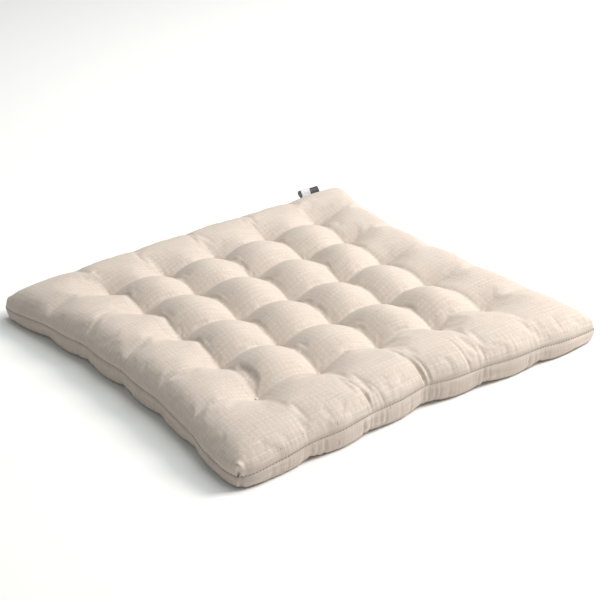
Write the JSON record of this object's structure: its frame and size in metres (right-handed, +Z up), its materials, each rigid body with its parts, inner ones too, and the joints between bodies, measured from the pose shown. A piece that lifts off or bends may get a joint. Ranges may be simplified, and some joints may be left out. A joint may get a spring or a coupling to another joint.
{
  "type": "chair seat pad",
  "caption": "Square tufted seat pad: two sewn fabric panels over fibre filling, drawn down at a grid of thread ties, with two folded tape labels in the back seam.",
  "frame": {"origin": "middle of the pad, on the surface it lies on", "axes": "+X along the front edge, +Y towards the back seam with the labels, +Z up"},
  "size_m": [0.4, 0.4168, 0.046],
  "materials": {
    "cover_cloth": "natural ecru cotton with slub yarns and seed flecks, matt",
    "fibre_filling": "white polyester fibre, soft and matt",
    "sewing_thread": "twisted ecru thread",
    "white_tape": "smooth white label tape, slight sheen",
    "black_tape": "black satin tape, slight sheen"
  },
  "bodies": {
    "pad": {"top_cover": "cover_cloth", "bottom_cover": "cover_cloth", "filling": "fibre_filling", "edge_seam_thread": "sewing_thread", "tuft_tie_01": "sewing_thread", "tuft_tie_02": "sewing_thread", "tuft_tie_03": "sewing_thread", "tuft_tie_04": "sewing_thread", "tuft_tie_05": "sewing_thread", "tuft_tie_06": "sewing_thread", "tuft_tie_07": "sewing_thread", "tuft_tie_08": "sewing_thread", "tuft_tie_09": "sewing_thread", "tuft_tie_10": "sewing_thread", "tuft_tie_11": "sewing_thread", "tuft_tie_12": "sewing_thread", "tuft_tie_13": "sewing_thread", "tuft_tie_14": "sewing_thread", "tuft_tie_15": "sewing_thread", "tuft_tie_16": "sewing_thread", "tuft_tie_17": "sewing_thread", "tuft_tie_18": "sewing_thread", "tuft_tie_19": "sewing_thread", "tuft_tie_20": "sewing_thread", "tuft_tie_21": "sewing_thread", "tuft_tie_22": "sewing_thread", "tuft_tie_23": "sewing_thread", "tuft_tie_24": "sewing_thread", "tuft_tie_25": "sewing_thread"},
    "care_label_flap": {"care_label": "white_tape"},
    "seam_tag_flap": {"seam_tag": "black_tape"}
  },
  "joints": [
    {"name": "care_label_bend", "type": "hinge", "parent": "pad", "child": "care_label_flap", "pos_m": [0.1692, 0.19914, 0.02034], "axis": [0.9983, 0.057, -0.0068], "range_deg": [-75, 30], "stiffness_Nm_per_rad": 0.0001},
    {"name": "seam_tag_bend", "type": "hinge", "parent": "pad", "child": "seam_tag_flap", "pos_m": [0.18175, 0.19986, 0.02026], "axis": [0.9983, 0.057, -0.0068], "range_deg": [-75, 30], "stiffness_Nm_per_rad": 0.0001}
  ]
}
